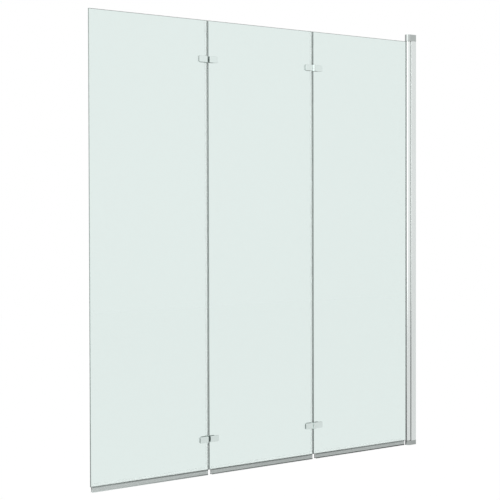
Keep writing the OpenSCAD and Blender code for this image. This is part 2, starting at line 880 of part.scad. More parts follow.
module panel_1_pads() {
    color(RUBBER) for (z = hinge_heights) joint_1_piece(z, false) hinge_pads(rear_reach, front_reach);
}

module panel_1_sleeves() {
    color(NYLON) for (z = hinge_heights) joint_1_piece(z, false) glass_sleeve();
}

module panel_1_screws() {
    color(STEEL) for (z = hinge_heights) joint_1_piece(z, false) clamping_screw(true);
}

wall_channel();
inner_profile();
inner_profile_screws();
top_block();
bottom_block();
block_screws();
top_bush();
bottom_bush();
pivot_post();
top_pivot_pin();
bottom_pivot_pin();
post_gasket();
glass_panel_3();
bottom_seal_3();
joint_2_upper_inner_leaf();
joint_2_lower_inner_leaf();
joint_2_upper_inner_clamp();
joint_2_lower_inner_clamp();
panel_3_pads();
panel_3_sleeves();
panel_3_screws();
glass_panel_2();
bottom_seal_2();
joint_seal_2();
joint_2_upper_outer_leaf();
joint_2_lower_outer_leaf();
joint_2_upper_outer_clamp();
joint_2_lower_outer_clamp();
joint_2_upper_pin();
joint_2_lower_pin();
joint_2_washers();
joint_1_upper_inner_leaf();
joint_1_lower_inner_leaf();
joint_1_upper_inner_clamp();
joint_1_lower_inner_clamp();
panel_2_pads();
panel_2_sleeves();
panel_2_screws();
glass_panel_1();
bottom_seal_1();
joint_seal_1();
joint_1_upper_outer_leaf();
joint_1_lower_outer_leaf();
joint_1_upper_outer_clamp();
joint_1_lower_outer_clamp();
joint_1_upper_pin();
joint_1_lower_pin();
joint_1_washers();
panel_1_pads();
panel_1_sleeves();
panel_1_screws();
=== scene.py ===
import math

import bmesh
import bpy
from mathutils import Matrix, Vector


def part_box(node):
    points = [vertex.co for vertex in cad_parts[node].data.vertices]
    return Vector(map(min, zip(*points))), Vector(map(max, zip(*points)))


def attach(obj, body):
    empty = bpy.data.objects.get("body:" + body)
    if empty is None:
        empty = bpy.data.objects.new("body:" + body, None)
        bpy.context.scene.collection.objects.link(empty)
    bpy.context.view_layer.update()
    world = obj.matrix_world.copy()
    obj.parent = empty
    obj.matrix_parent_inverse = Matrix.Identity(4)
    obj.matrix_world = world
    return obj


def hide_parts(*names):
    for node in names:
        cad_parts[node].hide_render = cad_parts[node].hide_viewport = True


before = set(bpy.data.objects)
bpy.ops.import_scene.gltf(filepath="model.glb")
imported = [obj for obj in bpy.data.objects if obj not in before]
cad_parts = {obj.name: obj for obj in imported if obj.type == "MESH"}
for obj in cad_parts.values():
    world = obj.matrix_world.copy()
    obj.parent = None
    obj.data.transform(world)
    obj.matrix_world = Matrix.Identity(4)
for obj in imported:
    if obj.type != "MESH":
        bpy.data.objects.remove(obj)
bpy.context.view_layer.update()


# ---- Camera ----
# The photograph was taken from the front left, at a standing bather's chest height, with a long lens.
# Place, turn and lens come from the straight edges of the screen, whose real sizes are known.

camera_data = bpy.data.cameras.new("camera")
camera_data.lens = 98.468
camera_data.sensor_width = 36
camera_data.shift_x = -0.0068
camera_data.shift_y = -0.0249
camera_data.clip_end = 60
camera = bpy.data.objects.new("camera", camera_data)
camera.location = (-3.3584, -3.3155, 0.8043)
camera.rotation_euler = [math.radians(degrees) for degrees in (88.8494, 0.1219, -38.6797)]
bpy.context.scene.collection.objects.link(camera)
bpy.context.scene.camera = camera
bpy.context.scene.view_settings.view_transform = "Standard"


# ---- Studio ----
# A white sweep behind the screen, a pale floor a bath's height below its foot, and soft lamps.
# The metal mirrors a room that is bright in front and darker behind, as the chrome of the hinges shows.


def colour(code):
    """An sRGB hex value as the linear colour of a shader socket."""
    parts = [int(code[i : i + 2], 16) / 255 for i in (1, 3, 5)]
    return [c / 12.92 if c <= 0.04045 else ((c + 0.055) / 1.055) ** 2.4 for c in parts] + [1]


def add_node(tree, kind, inputs=(), **settings):
    """Adds one node. inputs pairs a socket's name or number with its value or the output that feeds it."""
    made = tree.nodes.new("ShaderNode" + kind)
    for key, value in settings.items():
        setattr(made, key, value)
    for key, value in dict(inputs).items():
        if isinstance(value, bpy.types.NodeSocket):
            tree.links.new(value, made.inputs[key])
        else:
            made.inputs[key].default_value = value
    return made


room = bpy.data.worlds.new("studio_room")
room.use_nodes = True
tree = room.node_tree
tree.nodes.clear()
ray = add_node(tree, "LightPath")
way = add_node(tree, "SeparateXYZ", {0: add_node(tree, "TexCoord").outputs["Generated"]})
bearing = add_node(tree, "Math", {0: way.outputs["Y"], 1: way.outputs["X"]}, operation="ARCTAN2")
full_turn = {"Value": bearing.outputs[0], "From Min": -math.pi, "From Max": math.pi}
turn = add_node(tree, "MapRange", full_turn)

# the bearing in degrees from the +X axis, and how bright the room is there
below_eye_level = (
    (-180, 0.95), (-170, 1.0), (-157, 1.05), (-143, 0.95), (-112, 0.88), (-55, 0.82), (-20, 0.62),
    (40, 0.4), (105, 0.26), (130, 0.2), (148, 0.6), (165, 0.88), (180, 0.95),
)
above_eye_level = (
    (-180, 1.2), (-170, 1.4), (-157, 2.6), (-145, 1.25), (-112, 1.02), (-55, 0.97), (-20, 0.75),
    (40, 0.5), (105, 0.5), (130, 0.6), (145, 0.95), (165, 1.1), (180, 1.2),
)
walls = []
for table in (below_eye_level, above_eye_level):
    wall = add_node(tree, "ValToRGB", {0: turn.outputs[0]})
    stops = wall.color_ramp.elements
    stops.remove(stops[1])
    for number, (degrees, bright) in enumerate(table):
        position = 0.5 + degrees / 360
        stop = stops[0] if number == 0 else stops.new(position)
        stop.position = position
        stop.color = (bright, bright, bright, 1)
    walls.append(wall.outputs[0])
eye_level = add_node(tree, "MapRange", {"Value": way.outputs["Z"], "From Min": -0.15, "From Max": 0.0})
mirrored = add_node(tree, "Mix", {0: eye_level.outputs[0], 6: walls[0], 7: walls[1]}, data_type="RGBA")

# the camera sees plain white, metal sees the room, and matt surfaces get an even light
white = colour("#ffffff")
even_light = (0.8, 0.8, 0.8, 1)
by_mirror = add_node(tree, "Math", {0: ray.outputs["Glossy Depth"], 1: 0.5}, operation="GREATER_THAN")
by_matt = add_node(tree, "Math", {0: ray.outputs["Diffuse Depth"], 1: 0.5}, operation="GREATER_THAN")
straight = add_node(
    tree, "Mix", {0: by_mirror.outputs[0], 6: white, 7: mirrored.outputs[2]}, data_type="RGBA"
)
shown = add_node(
    tree, "Mix", {0: by_matt.outputs[0], 6: straight.outputs[2], 7: even_light}, data_type="RGBA"
)
backdrop = add_node(tree, "Background", {"Color": shown.outputs[2]})
add_node(tree, "OutputWorld", {"Surface": backdrop.outputs[0]})
bpy.context.scene.world = room

for lamp_name, place, aim, width, tall, power in (
    ("strip_left", (-3.1, -1.5, 0.9), (-0.03, 0, 0.7), 0.5, 2.6, 20),
    ("soft_front", (1.2, -3.6, 2.4), (-0.6, 0, 0.7), 2.0, 2.0, 26),
    ("soft_above", (-0.7, -0.6, 3.6), (-0.7, 0, 0.7), 2.4, 1.6, 22),
):
    lamp = bpy.data.lights.new(lamp_name, "AREA")
    lamp.shape = "RECTANGLE"
    lamp.size = width
    lamp.size_y = tall
    lamp.energy = power
    holder = bpy.data.objects.new(lamp_name, lamp)
    holder.location = place
    holder.rotation_euler = (Vector(aim) - Vector(place)).to_track_quat("-Z", "Y").to_euler()
    holder.visible_camera = False
    holder.visible_transmission = False
    holder.visible_glossy = False
    bpy.context.scene.collection.objects.link(holder)


def clear_selection():
    for chosen in list(bpy.context.selected_objects):
        chosen.select_set(False)


floor_side, bath_height = 24, 0.55
clear_selection()
bpy.ops.mesh.primitive_plane_add(size=floor_side, location=(-0.6, 0, -bath_height))
floor = bpy.context.active_object
floor.name = "studio_floor"
floor_paint = bpy.data.materials.new("matt_white_floor_paint")
floor_paint.use_nodes = True
tree = floor_paint.node_tree
tree.nodes.clear()
ray = add_node(tree, "LightPath")
spot = add_node(tree, "TexCoord").outputs["Object"]
mottle = add_node(tree, "TexNoise", {"Vector": spot, "Scale": 3.0, "Detail": 4.0})
tint = add_node(tree, "ValToRGB", {0: mottle.outputs["Fac"]})
tint.color_ramp.elements[0].color = colour("#eef0f0")
tint.color_ramp.elements[1].color = colour("#f6f7f7")
matt = add_node(tree, "BsdfDiffuse", {"Color": tint.outputs[0]})

# the floor glows, so that it is as white as the sweep, and its small matt share takes the shadow;
# the glow is a little over 1, because the matt share comes out a little under white
glow, glow_share = 1.012, 0.96
glowing = add_node(tree, "Emission", {"Color": white, "Strength": glow})
by_matt = add_node(tree, "Math", {0: ray.outputs["Diffuse Depth"], 1: 0.5}, operation="GREATER_THAN")
by_mirror = add_node(tree, "Math", {0: ray.outputs["Glossy Depth"], 1: 0.5}, operation="GREATER_THAN")
straight = add_node(tree, "Math", {0: 1.0, 1: by_matt.outputs[0]}, operation="SUBTRACT")
share = add_node(tree, "Math", {0: straight.outputs[0], 1: glow_share}, operation="MULTIPLY")
both = add_node(tree, "MixShader", {0: share.outputs[0], 1: matt.outputs[0], 2: glowing.outputs[0]})

# in the metal the floor darkens towards the far left corner, as the room above it does
far_left = (-0.342, 0.94, 0)
depth = add_node(tree, "VectorMath", {0: spot, 1: far_left}, operation="DOT_PRODUCT").outputs["Value"]
falling = {"Value": depth, "From Min": 1.5, "From Max": 3.8, "To Min": 0.84, "To Max": 0.22}
dusk = add_node(tree, "MapRange", falling)
mirrored = add_node(tree, "Emission", {"Color": white, "Strength": dusk.outputs[0]})
seen = add_node(tree, "MixShader", {0: by_mirror.outputs[0], 1: both.outputs[0], 2: mirrored.outputs[0]})
add_node(tree, "OutputMaterial", {"Surface": seen.outputs[0]})
floor.data.materials.append(floor_paint)


# ---- Glass panes ----
# Three panes of 5 mm toughened float glass. The faces are clear with the faint green of float glass.
# The edges are ground flat with a small arris, which makes them frosted, so they read darker and greener.


def settle(name):
    """Names the primitive just added and moves its place and size into its mesh."""
    piece = bpy.context.active_object
    piece.name = piece.data.name = name
    bpy.ops.object.transform_apply(location=True, rotation=True, scale=True)
    return piece


def add_block(name, low, high):
    """A box between two corners, in millimetres."""
    clear_selection()
    middle = [(a + b) / 2000 for a, b in zip(low, high)]
    size = [abs(b - a) / 1000 for a, b in zip(low, high)]
    bpy.ops.mesh.primitive_cube_add(size=1, location=middle, scale=size)
    return settle(name)


def add_rod(name, radius, start, end, sides=64, tip_radius=None):
    """A cylinder, or a cone with a tip radius, from one point to another, in millimetres."""
    clear_selection()
    a, b = Vector(start) / 1000, Vector(end) / 1000
    bpy.ops.mesh.primitive_cone_add(
        vertices=sides,
        radius1=radius / 1000,
        radius2=(radius if tip_radius is None else tip_radius) / 1000,
        depth=(b - a).length,
        location=(a + b) / 2,
        rotation=(b - a).to_track_quat("Z", "Y").to_euler(),
    )
    return settle(name)


def make_active(piece):
    clear_selection()
    piece.select_set(True)
    bpy.context.view_layer.objects.active = piece


def pick(piece, kind, test):
    """Opens the piece in edit mode, with only the edges or faces that pass the test selected.

    An edge is tested by its middle and direction, and a face by its middle and normal, with the
    middle in millimetres.
    """
    make_active(piece)
    bpy.ops.object.mode_set(mode="EDIT")
    bpy.ops.mesh.select_mode(type=kind)
    bpy.ops.mesh.select_all(action="DESELECT")
    shape = bmesh.from_edit_mesh(piece.data)
    if kind == "EDGE":
        for e in shape.edges:
            a, b = (v.co * 1000 for v in e.verts)
            e.select_set(bool(test((a + b) / 2, (b - a).normalized())))
    else:
        for f in shape.faces:
            f.select_set(bool(test(f.calc_center_median() * 1000, f.normal)))
    bmesh.update_edit_mesh(piece.data)


def leave():
    bpy.ops.object.mode_set(mode="OBJECT")


def round_edges(piece, width, segments, test):
    """Bevels the edges that pass the test."""
    pick(piece, "EDGE", test)
    bpy.ops.mesh.bevel(offset=width / 1000, segments=segments, affect="EDGES", clamp_overlap=True)
    leave()


def join_solids(piece, tool, operation="UNION"):
    """Unites, cuts or intersects the piece with a tool that is then removed."""
    make_active(piece)
    step = piece.modifiers.new(operation.lower(), "BOOLEAN")
    step.operation = operation
    step.solver = "EXACT"
    step.object = tool
    bpy.ops.object.modifier_apply(modifier=step.name)
    bpy.data.objects.remove(tool)


def cut_away(piece, tool):
    join_solids(piece, tool, "DIFFERENCE")


def dress(piece, bevel=0.0, angle=35):
    """Last steps on a piece: doubles merged, normals out, a fine bevel on sharp edges, smooth shading."""
    pick(piece, "FACE", lambda m, n: True)
    bpy.ops.mesh.remove_doubles(threshold=0.000002)
    bpy.ops.mesh.normals_make_consistent(inside=False)
    leave()
    if bevel:
        step = piece.modifiers.new("fine_edges", "BEVEL")
        step.width = bevel / 1000
        step.segments = 2
        step.limit_method = "ANGLE"
        step.angle_limit = math.radians(angle)
        bpy.ops.object.modifier_apply(modifier=step.name)
    bpy.ops.object.shade_smooth_by_angle(angle=math.radians(angle))
    step = piece.modifiers.new("flat_stays_flat", "WEIGHTED_NORMAL")
    step.mode = "FACE_AREA"
    step.weight = 80
    step.keep_sharp = True
    bpy.ops.object.modifier_apply(modifier=step.name)


def finish_faces(piece, finishes, choose):
    """Gives each face the finish that is chosen by its middle, in millimetres, and its normal."""
    for finish in finishes:
        piece.data.materials.append(finish)
    for face in piece.data.polygons:
        face.material_index = finishes.index(choose(face.center * 1000, face.normal))


def new_finish(name):
    """A material with one Principled shader, and the object coordinates in millimetres."""
    made = bpy.data.materials.new(name)
    made.use_nodes = True
    tree = made.node_tree
    tree.nodes.clear()
    shader = add_node(tree, "BsdfPrincipled")
    add_node(tree, "OutputMaterial", {"Surface": shader.outputs[0]})
    metres = add_node(tree, "TexCoord").outputs["Object"]
    place = add_node(tree, "Mapping", {"Vector": metres, "Scale": (1000, 1000, 1000)})
    return made, tree, shader.inputs, place.outputs[0]


def mottled(tree, at, per_mm, detail, dark, pale, roughness=0.5, ends=(0.0, 1.0)):
    """A fine pattern, with its size along X, Y and Z, and the tone that it gives between two colours."""
    place = add_node(tree, "Mapping", {"Vector": at, "Scale": per_mm})
    fineness = {"Vector": place.outputs[0], "Scale": 1.0, "Detail": detail, "Roughness": roughness}
    pattern = add_node(tree, "TexNoise", fineness)
    tone = add_node(tree, "ValToRGB", {0: pattern.outputs["Fac"]})
    for stop, position, code in zip(tone.color_ramp.elements, ends, (dark, pale)):
        stop.position = position
        stop.color = colour(code)
    return pattern.outputs["Fac"], tone.outputs[0]


def greyed(tree, at, tone, axis, clean_at, dull_at, share):
    """The tone, falling along an axis from full where it is clean to a share of it where it is dull."""
    along = add_node(tree, "SeparateXYZ", {0: at}).outputs[axis]
    span = {"Value": along, "From Min": dull_at, "From Max": clean_at, "To Min": share}
    left = add_node(tree, "MapRange", span).outputs[0]
    dulled = add_node(tree, "Mix", {0: 1.0, 6: tone, 7: left}, data_type="RGBA", blend_type="MULTIPLY")
    return dulled.outputs[2]


# Clear float glass, fire-polished by the float bath: flat, with the long faint waves that the
# rollers of the toughening oven leave, about 250 mm apart, and a pale green body.
float_glass, tree, skin, at = new_finish("clear_toughened_float_glass")
skin["Base Color"].default_value = colour("#e1ece9")
skin["Roughness"].default_value = 0.0
skin["IOR"].default_value = 1.52
skin["Transmission Weight"].default_value = 1.0
rollers = add_node(tree, "Mapping", {"Vector": at, "Scale": (0.0015, 0.0015, 0.004)})
waves = add_node(tree, "TexNoise", {"Vector": rollers.outputs[0], "Scale": 1.0, "Detail": 1.0})
ripple = add_node(tree, "Bump", {"Height": waves.outputs["Fac"], "Strength": 0.15, "Distance": 0.0004})
tree.links.new(ripple.outputs[0], skin["Normal"])

# Ground edge of the same glass: a diamond wheel leaves it frosted grey green, with fine marks
# along the edge. The grain is drawn at 1.5 mm, coarser than real, so that it shows, and painted
# shade darkens the lowest half metre.
ground_edge, tree, skin, at = new_finish("diamond_ground_glass_edge")
grain, frost = mottled(tree, at, (0.7, 0.7, 0.7), 5.0, "#95a39e", "#abb7b3", roughness=0.6)
# painted shade: the edge's colour falls to half towards the foot of the pane
tree.links.new(greyed(tree, at, frost, "Z", 450.0, 0.0, 0.5), skin["Base Color"])
skin["Roughness"].default_value = 0.35
skin["IOR"].default_value = 1.52
skin["Transmission Weight"].default_value = 0.35
marks = add_node(tree, "Bump", {"Height": grain, "Strength": 0.3, "Distance": 0.0001})
tree.links.new(marks.outputs[0], skin["Normal"])

# The same ground edge where it runs level, at the head and foot of a pane. Seen from a little below
# it mirrors the inside of the pane end to end, so it is the darkest line of the glass; that dark is
# painted into its colour, as painted shade and painted reflection.
level_edge_painted_shade, tree, skin, at = new_finish("level_glass_edge_painted_dark")
# painted shade: the level edges are coloured dark grey green
grain, frost = mottled(tree, at, (0.7, 0.7, 0.7), 5.0, "#424e4a", "#5a6662", roughness=0.6)
tree.links.new(frost, skin["Base Color"])
skin["Roughness"].default_value = 0.35
skin["IOR"].default_value = 1.52
skin["Transmission Weight"].default_value = 0.1
marks = add_node(tree, "Bump", {"Height": grain, "Strength": 0.3, "Distance": 0.0001})
tree.links.new(marks.outputs[0], skin["Normal"])


def pane_finish(middle, normal):
    """Clear on the two faces, and ground on the edges, which are painted darker, as painted shade, where they
    run level.
    """
    if abs(normal.y) > 0.99:
        return float_glass
    return level_edge_painted_shade if abs(normal.z) > 0.5 else ground_edge


panels = ((1, "outer_panel"), (2, "middle_panel"), (3, "inner_panel"))
glass_half, glass_arris, glass_hole_r = 2.5, 0.8, 5.2
upper_pins = {1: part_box("joint_1_upper_pin"), 2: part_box("joint_2_upper_pin")}
joint_x = {joint: (low.x + high.x) * 500 for joint, (low, high) in upper_pins.items()}
hinge_z = [
    sum(corner.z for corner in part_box(node)) * 500 for node in ("joint_1_lower_pin", "joint_1_upper_pin")
]
bolt_reach = 15  # from the middle of a joint to its clamping screws

for number, body in panels:
    low, high = (corner * 1000 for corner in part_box(f"glass_panel_{number}"))
    pane = add_block(f"glass_pane_{number}", low, high)
    round_edges(pane, glass_arris, 1, lambda m, d: abs(abs(m.y) - glass_half) < 0.01)
    bolts = [x + side * bolt_reach for x in joint_x.values() for side in (-1, 1)]
    for x in bolts:
        if low.x < x < high.x:
            for z in hinge_z:
                cut_away(pane, add_rod("drill", glass_hole_r, (x, -6, z), (x, 6, z)))
    dress(pane, angle=20)
    finish_faces(pane, (float_glass, ground_edge, level_edge_painted_shade), pane_finish)
    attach(pane, body)
    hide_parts(f"glass_panel_{number}")


# ---- Wall channel ----
# A U-shaped aluminium extrusion that is screwed flat to the wall, with rounded lips at its mouth.
# It is bright anodised, so it shines softly and keeps the fine lines of the extrusion die.

# Anodised aluminium: the die's lines run along the extrusion. They are drawn 0.8 mm apart, where
# real ones are finer, and the anodic film gives a soft, cool silver.
anodised, tree, skin, at = new_finish("bright_silver_anodised_aluminium")
lines, film = mottled(
    tree, at, (1.2, 1.2, 0.004), 6.0, "#dfe5e3", "#e9edec", roughness=0.65, ends=(0.3, 0.7)
)
tree.links.new(film, skin["Base Color"])
skin["Metallic"].default_value = 1.0
gloss = add_node(tree, "MapRange", {"Value": lines, "To Min": 0.10, "To Max": 0.20})
tree.links.new(gloss.outputs[0], skin["Roughness"])
scored = add_node(tree, "Bump", {"Height": lines, "Strength": 0.05, "Distance": 0.0001})
tree.links.new(scored.outputs[0], skin["Normal"])

past = 2  # how far a cutting tool reaches past the piece that it cuts
channel_t = 1.6
lip_round = 1.44
wall_screw_r, wall_screw_pitch = 2.6, 400

low, high = (corner * 1000 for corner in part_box("wall_channel"))
channel = add_block("wall_channel_extrusion", low, high)
hollow_low = (low.x - past, low.y + channel_t, low.z - past)
hollow_high = (high.x - channel_t, high.y - channel_t, high.z + past)
cut_away(channel, add_block("hollow", hollow_low, hollow_high))
round_edges(channel, lip_round, 6, lambda m, d: m.x < low.x + 0.1 and abs(d.z) > 0.9 and abs(m.y) > 10)
round_edges(channel, 0.3, 2, lambda m, d: m.x > high.x - 0.1 and abs(d.z) > 0.9)
for step in (-1.5, -0.5, 0.5, 1.5):
    z = (low.z + high.z) / 2 + step * wall_screw_pitch
    cut_away(channel, add_rod("wall_screw_hole", wall_screw_r, (-5, 0, z), (5, 0, z), 32))

# four countersunk holes in the rear flank, for the screws of the inner profile
row_low, row_high = (corner * 1000 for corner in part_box("inner_profile_screws"))
row_x = (row_low.x + row_high.x) / 2
screw_head_r, screw_hole_r = 3.0, 1.9
countersink_r, countersink_rim, countersink_tip = 3.25, 10.55, 9.05
lowest, highest = row_low.z + screw_head_r, row_high.z - screw_head_r
for step in range(4):
    z = lowest + (highest - lowest) * step / 3
    cut_away(channel, add_rod("screw_hole", screw_hole_r, (row_x, 5, z), (row_x, 15, z), 32))
    rim, tip = (row_x, countersink_rim, z), (row_x, countersink_tip, z)
    cut_away(channel, add_rod("countersink", countersink_r, rim, tip, 32, tip_radius=screw_hole_r))
dress(channel)
channel.data.materials.append(anodised)
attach(channel, "root")
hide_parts("wall_channel")


# ---- Inner profile and its screws ----
# The extrusion that slides in the wall channel and cups the post. Only its lips show, in the groove.
# Countersunk stainless screws through the rear flank hold it where the walls are out of true.


def use_finish(nodes, finish):
    """Gives CAD nodes whose shape is right a better material."""
    for node in nodes:
        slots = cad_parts[node].data.materials
        slots.clear()
        slots.append(finish)


# The same anodised film inside the groove. It stays bright at the top, and in the lower third it is
# painted dark, as painted shade, so the groove reads as a deep line there.
groove_film_painted_shade, tree, skin, at = new_finish("anodised_aluminium_groove_painted_shade")
_, film = mottled(tree, at, (1.2, 1.2, 0.004), 6.0, "#eef2f0", "#f9fbfa", roughness=0.65)
# painted shade: the groove's colour falls to a twentieth below 300 mm
tree.links.new(greyed(tree, at, film, "Z", 520.0, 300.0, 0.05), skin["Base Color"])
skin["Metallic"].default_value = 1.0
skin["Roughness"].default_value = 0.22
use_finish(["inner_profile"], groove_film_painted_shade)

# Turned stainless steel, slightly brushed by the driver and the box it came in: fine random
# scratches under 1 mm, a little rough, neutral grey.
stainless, tree, skin, at = new_finish("turned_stainless_steel")
swirl, steel = mottled(tree, at, (2.5, 2.5, 2.5), 6.0, "#aeb2b4", "#c4c7c8", roughness=0.7)
tree.links.new(steel, skin["Base Color"])
skin["Metallic"].default_value = 1.0
worn = add_node(tree, "MapRange", {"Value": swirl, "To Min": 0.22, "To Max": 0.42})
tree.links.new(worn.outputs[0], skin["Roughness"])
use_finish(
    ["inner_profile_screws", "block_screws", "top_pivot_pin", "bottom_pivot_pin"]
    + [f"panel_{number}_screws" for number in (1, 2, 3)],
    stainless,
)


# ---- End blocks ----
# Zinc castings that close the wall unit at both ends and hold the bushes of the post. Their round
# noses follow the post, and satin plating leaves them greyer and duller than the extrusions.

# Satin nickel over cast zinc: blasted before plating, so it has a fine 0.6 mm orange peel. A painted
# highlight keeps the round nose brighter than the flats, and painted shade darkens the lower block.
satin, tree, skin, at = new_finish("satin_nickel_casting_painted_light_and_shade")
peel, plate = mottled(tree, at, (1.6, 1.6, 1.6), 3.0, "#b8bebc", "#c4cac8")
# painted highlight: the nose keeps its full colour and the flats fall to 0.91 of it
nose_painted_highlight = greyed(tree, at, plate, "X", -31.0, -26.0, 0.91)
# painted shade: the colour falls to 0.84 towards the foot of the unit
tree.links.new(greyed(tree, at, nose_painted_highlight, "Z", 500.0, 0.0, 0.84), skin["Base Color"])
skin["Metallic"].default_value = 1.0
skin["Roughness"].default_value = 0.13
pores = add_node(tree, "Bump", {"Height": peel, "Strength": 0.15, "Distance": 0.0001})
tree.links.new(pores.outputs[0], skin["Normal"])

pin_low, pin_high = (corner * 1000 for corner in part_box("top_pivot_pin"))
axis_x = (pin_low.x + pin_high.x) / 2
screw_x = sum(corner.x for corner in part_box("block_screws")) * 500
unit_h, top_block_h, bottom_block_h = 1400.0, 22.5, 15.0
block_half, block_round = 10.5, 0.8
seat_r, seat_depth = 4.58, 10.8  # of the bush
way_r, recess_r, recess_floor = 1.95, 3.5, 5.0  # of the screw that holds the block
peg_l, peg_half, peg_inner, peg_outer = 6.0, 4.3, 4.55, 6.75  # the two pegs that enter the inner profile

for name, bottom, top in (
    ("top_block", unit_h - top_block_h, unit_h),
    ("bottom_block", 0.0, bottom_block_h),
):
    # up is 1 where the block's free end is its top, and inner is its end at the extrusions
    up, outer, inner = (1, top, bottom) if name == "top_block" else (-1, bottom, top)
    casting = add_rod(name + "_casting", block_half, (axis_x, 0, bottom), (axis_x, 0, top), 96)
    join_solids(casting, add_block("square_back", (axis_x, -block_half, bottom), (0, block_half, top)))
    round_edges(casting, block_round, 4, lambda m, d: abs(m.z - outer) < 0.01 and m.x < -0.1)
    pick(casting, "FACE", lambda m, n: abs(m.z - outer) < 0.02)
    bpy.ops.transform.resize(value=(1, 1, 0), center_override=(0, 0, outer / 1000))
    leave()
    seat_ends = sorted((inner - up * past, inner + up * seat_depth))
    cut_away(casting, add_rod("bush_seat", seat_r, *((axis_x, 0, z) for z in seat_ends), 48))
    cut_away(casting, add_rod("screw_way", way_r, (screw_x, 0, bottom - past), (screw_x, 0, top + past), 32))
    recess_ends = (inner + up * recess_floor, outer + up * past)
    cut_away(casting, add_rod("screw_recess", recess_r, *((screw_x, 0, z) for z in recess_ends), 32))
    for side in (-1, 1):
        near, far = sorted((side * peg_outer, side * peg_inner))
        z0, z1 = sorted((inner - up * peg_l, inner + up * 0.2))
        peg = add_block("peg", (screw_x - peg_half, near, z0), (screw_x + peg_half, far, z1))
        join_solids(casting, peg)
    dress(casting)
    casting.data.materials.append(satin)
    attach(casting, "root")
    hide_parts(name)

# Moulded nylon for bushes, washers and sleeves: milky, low gloss, with the faint mottle of
# regrind.
nylon, tree, skin, at = new_finish("moulded_natural_nylon")
_, milk = mottled(tree, at, (0.9, 0.9, 0.9), 3.0, "#dcdcd4", "#e8e8e2")
tree.links.new(milk, skin["Base Color"])
skin["Roughness"].default_value = 0.45
skin["IOR"].default_value = 1.53
use_finish(
    ["top_bush", "bottom_bush", "joint_1_washers", "joint_2_washers"]
    + [f"panel_{number}_sleeves" for number in (1, 2, 3)],
    nylon,
)


# ---- Pivot post ----
# A round hollow extrusion that turns with the inner pane. The pane is gripped in its slot, and steel
# pins in its central bore turn in the bushes of the end blocks.

low, high = (corner * 1000 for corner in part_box("pivot_post"))
post_r = high.y
post_t = 1.5
slot_half, slot_reach, web_reach = 3.5, 12, 12
boss_r, bore_r = 3.62, 2.52

post = add_rod("pivot_post_extrusion", post_r, (axis_x, 0, low.z), (axis_x, 0, high.z), 128)
below, above = (axis_x, 0, low.z - past), (axis_x, 0, high.z + past)
cut_away(post, add_rod("hollow", post_r - post_t, below, above, 96))
wall_half = slot_half + post_t
core = add_block(
    "slot_walls", (axis_x - slot_reach, -wall_half, low.z), (axis_x - 0.4, wall_half, high.z)
)
web_high = (axis_x + web_reach, post_t / 2, high.z)
join_solids(core, add_block("web", (axis_x - 1, -post_t / 2, low.z), web_high))
join_solids(core, add_rod("bore_boss", boss_r, (axis_x, 0, low.z), (axis_x, 0, high.z), 48))
join_solids(core, add_rod("inside", post_r - 0.1, below, above, 96), "INTERSECT")
join_solids(post, core)
slot_low = (axis_x - slot_reach - past, -slot_half, low.z - past)
cut_away(post, add_block("slot", slot_low, (axis_x - boss_r, slot_half, high.z + past)))
cut_away(post, add_rod("bore", bore_r, below, above, 48))
dress(post, bevel=0.18)
post.data.materials.append(anodised)
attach(post, "inner_panel")
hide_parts("pivot_post")


# ---- Gasket in the post ----
# A soft grey U of vinyl pushed in round the glass, which keeps it off the metal. Its two lips show as
# a grey line on each side of the pane.

# Extruded plasticised vinyl: pale grey, satin, with the die's lines along the strip, and painted
# darker towards the bath as painted shade, most of all over the last hand's breadth.
soft_vinyl, tree, skin, at = new_finish("extruded_grey_vinyl_painted_shade_low")
_, dull = mottled(tree, at, (1.5, 1.5, 0.01), 4.0, "#aeb4b2", "#bec4c2")
# painted shade: the colour falls to about half towards the foot, and lower still over the last 250 mm
darker_low_painted_shade = greyed(tree, at, dull, "Z", 1000.0, 0.0, 0.48)
tree.links.new(greyed(tree, at, darker_low_painted_shade, "Z", 250.0, 100.0, 0.66), skin["Base Color"])
skin["Roughness"].default_value = 0.35
skin["IOR"].default_value = 1.50

low, high = (corner * 1000 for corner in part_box("post_gasket"))
mouth_x = axis_x - post_r + 0.35  # where the lips leave the slot
gasket_taper = 0.83
slot_play, gasket_floor = 0.02, 0.58

gasket = add_block("post_gasket_extrusion", (mouth_x, low.y, low.z), high)
pick(gasket, "FACE", lambda m, n: n.x < -0.9)
bpy.ops.mesh.extrude_region_move(TRANSFORM_OT_translate={"value": ((low.x - mouth_x) / 1000, 0, 0)})
bpy.ops.transform.resize(value=(1, gasket_taper, 1), center_override=(low.x / 1000, 0, 0))
leave()
slot_y = glass_half + slot_play
slot_low = (low.x - past, -slot_y, low.z - past)
cut_away(gasket, add_block("pane_slot", slot_low, (high.x - gasket_floor, slot_y, high.z + past)))
round_edges(gasket, 0.15, 2, lambda m, d: m.x < low.x + 0.05 and abs(d.z) > 0.9)
dress(gasket)
gasket.data.materials.append(soft_vinyl)
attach(gasket, "inner_panel")
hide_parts("post_gasket")


# ---- Bottom seals ----
# Co-extruded vinyl strips pushed up over the foot of each pane: clear hard legs on the glass, and a
# milky soft tube with two wiper lips that turn the water back into the bath.

# Clear hard vinyl of the legs: glossy and nearly invisible on glass, with faint draw lines. It is
# too thin to bend the light, so it lets the light straight through instead of refracting it.
clear_vinyl, tree, skin, at = new_finish("clear_extruded_vinyl")
pull, water_clear = mottled(tree, at, (0.01, 0.8, 0.8), 3.0, "#e3e9e7", "#f1f5f4")
tree.links.new(water_clear, skin["Base Color"])
skin["Roughness"].default_value = 0.10
skin["IOR"].default_value = 1.50
skin["Alpha"].default_value = 0.06
faint = add_node(tree, "Bump", {"Height": pull, "Strength": 0.1, "Distance": 0.0001})
tree.links.new(faint.outputs[0], skin["Normal"])

